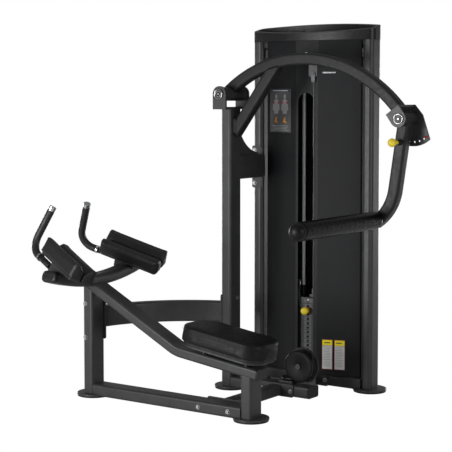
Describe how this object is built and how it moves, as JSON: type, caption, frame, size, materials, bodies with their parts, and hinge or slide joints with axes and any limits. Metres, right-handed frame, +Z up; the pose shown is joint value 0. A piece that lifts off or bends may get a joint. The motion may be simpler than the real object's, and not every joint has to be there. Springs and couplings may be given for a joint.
{
  "type": "glute kickback machine",
  "caption": "Kneeling hip-extension gym machine with forearm trough pads, a sloping knee pad, an arched swing arm with foam roller, and a shrouded weight-stack tower.",
  "frame": {"origin": "centre of the footprint on the floor", "axes": "+Z up, +Y towards the weight-stack tower, +X behind the kneeling user, who faces -X"},
  "size_m": [1.8518, 1.4104, 1.9389],
  "materials": {
    "frame_paint": "satin anthracite powder coat",
    "shroud_paint": "fine-textured dark grey powder coat",
    "black_rubber": "matt moulded rubber",
    "black_plastic": "matt moulded plastic",
    "pad_cover": "black grained vinyl",
    "roller_foam": "matt closed-cell foam skin",
    "chrome": "bright chrome",
    "zinc_steel": "zinc-plated steel",
    "label_plate": "printed plastic label",
    "stack_iron": "black painted steel plate",
    "yellow_plastic": "yellow moulded plastic",
    "cable_cover": "black nylon-covered wire rope"
  },
  "bodies": {
    "frame": {"base_tubes": "frame_paint", "rail_posts": "frame_paint", "tower_frame": "frame_paint", "joint_plates": "frame_paint", "tower_link": "frame_paint", "pivot_upright": "frame_paint", "pivot_shaft": "zinc_steel", "foot_flanges": "frame_paint", "foot_rubbers": "black_rubber", "tube_end_caps": "black_plastic", "side_beam": "frame_paint", "knee_rail": "frame_paint", "forearm_cross_tube": "frame_paint", "outer_arm_pads": "pad_cover", "inner_arm_pads": "pad_cover", "arm_pad_mounts": "frame_paint", "handles": "chrome", "hand_grips": "black_rubber", "knee_pad": "pad_cover", "knee_pad_base": "frame_paint", "front_shroud": "shroud_paint", "rear_shroud": "shroud_paint", "tower_cap": "black_plastic", "placards": "label_plate", "guide_rods": "chrome", "lower_weight_plates": "stack_iron", "rubber_stops": "black_rubber", "base_pulley_brackets": "frame_paint", "tower_pulley_brackets": "frame_paint", "low_pulley_axle": "zinc_steel", "lift_cable_base": "cable_cover", "lift_cable_stack": "cable_cover", "frame_bolts": "zinc_steel"},
    "swing_arm": {"arm_hub": "frame_paint", "arched_arm": "frame_paint", "arm_brace": "frame_paint", "arm_brackets": "frame_paint", "sector_plate": "frame_paint", "adjuster_shaft": "zinc_steel"},
    "lower_arm": {"lower_arm": "frame_paint", "roller_axle": "zinc_steel"},
    "pull_pin": {"pull_pin": "zinc_steel", "pull_pin_knob": "yellow_plastic"},
    "roller": {"roller_core": "black_plastic", "roller_pad": "roller_foam"},
    "carriage": {"carried_weight_plates": "stack_iron", "selector_column": "zinc_steel", "guide_bushings": "black_plastic", "lanyard_ring": "zinc_steel", "lanyard_cord": "cable_cover"},
    "selector": {"selector_pin": "zinc_steel", "selector_knob": "yellow_plastic"},
    "low_pulley": {"low_pulley": "black_plastic"},
    "turn_pulley": {"turn_pulley": "black_plastic"},
    "tower_low_pulley": {"tower_low_pulley": "black_plastic"},
    "top_pulley": {"top_pulley": "black_plastic"},
    "front_cable": {"lift_cable_front": "cable_cover"},
    "cable_end": {"cable_sheath": "zinc_steel"},
    "shackle": {"cable_shackle": "zinc_steel"}
  },
  "joints": [
    {"name": "swing_arm_hinge", "type": "hinge", "parent": "frame", "child": "swing_arm", "pos_m": [-0.19729, 0.24118, 1.562], "axis": [0, -1, 0], "range_deg": [0, 40]},
    {"name": "lower_arm_adjust", "type": "hinge", "parent": "swing_arm", "child": "lower_arm", "pos_m": [0.83494, 0.24118, 1.44219], "axis": [0, -1, 0], "range_deg": [0, 36]},
    {"name": "pull_pin_slide", "type": "slide", "parent": "lower_arm", "child": "pull_pin", "axis": [0, -1, 0], "range_m": [0, 0.012], "stiffness_N_per_m": 900, "springref_m": -0.004},
    {"name": "roller_spin", "type": "hinge", "parent": "lower_arm", "child": "roller", "pos_m": [0.69671, 0.24118, 0.945], "axis": [0, 1, 0], "continuous": true},
    {"name": "carriage_slide", "type": "slide", "parent": "frame", "child": "carriage", "axis": [0, 0, 1], "range_m": [0, 0.33], "deforming": ["lift_cable_stack"]},
    {"name": "selector_pin_slide", "type": "slide", "parent": "carriage", "child": "selector", "axis": [0, -1, 0], "range_m": [0, 0.08]},
    {"name": "low_pulley_spin", "type": "hinge", "parent": "frame", "child": "low_pulley", "pos_m": [0.23771, 0.24118, 0.164], "axis": [0, -1, 0], "range_deg": [-10, 260]},
    {"name": "turn_pulley_spin", "type": "hinge", "parent": "frame", "child": "turn_pulley", "pos_m": [0.15071, 0.27918, 0.088], "axis": [0, 0, 1], "range_deg": [-10, 500]},
    {"name": "tower_low_pulley_spin", "type": "hinge", "parent": "frame", "child": "tower_low_pulley", "pos_m": [0.11271, 0.62118, 0.118], "axis": [-1, 0, 0], "range_deg": [-10, 620]},
    {"name": "top_pulley_spin", "type": "hinge", "parent": "frame", "child": "top_pulley", "pos_m": [0.11271, 0.61068, 1.69], "axis": [-1, 0, 0], "range_deg": [-10, 480]},
    {"name": "front_cable_tilt", "type": "hinge", "parent": "frame", "child": "front_cable", "pos_m": [0.31371, 0.24118, 0.164], "axis": [0, -1, 0], "range_deg": [0, 6.2]},
    {"name": "cable_end_slide", "type": "slide", "parent": "front_cable", "child": "cable_end", "axis": [0, 0, 1], "range_m": [0, 0.33]},
    {"name": "shackle_hinge", "type": "hinge", "parent": "swing_arm", "child": "shackle", "pos_m": [0.31371, 0.24118, 1.662], "axis": [0, -1, 0], "range_deg": [-36, 0]}
  ],
  "couplings": [
    {"joint": "carriage_slide", "follows": "swing_arm_hinge", "m_per_rad": 0.445},
    {"joint": "low_pulley_spin", "follows": "swing_arm_hinge", "ratio": 5.8553},
    {"joint": "turn_pulley_spin", "follows": "swing_arm_hinge", "ratio": 11.71},
    {"joint": "tower_low_pulley_spin", "follows": "swing_arm_hinge", "ratio": 14.833},
    {"joint": "top_pulley_spin", "follows": "swing_arm_hinge", "ratio": 10.988},
    {"joint": "front_cable_tilt", "follows": "swing_arm_hinge", "ratio": 0.142},
    {"joint": "cable_end_slide", "follows": "swing_arm_hinge", "m_per_rad": 0.445},
    {"joint": "shackle_hinge", "follows": "swing_arm_hinge", "ratio": -0.857}
  ]
}
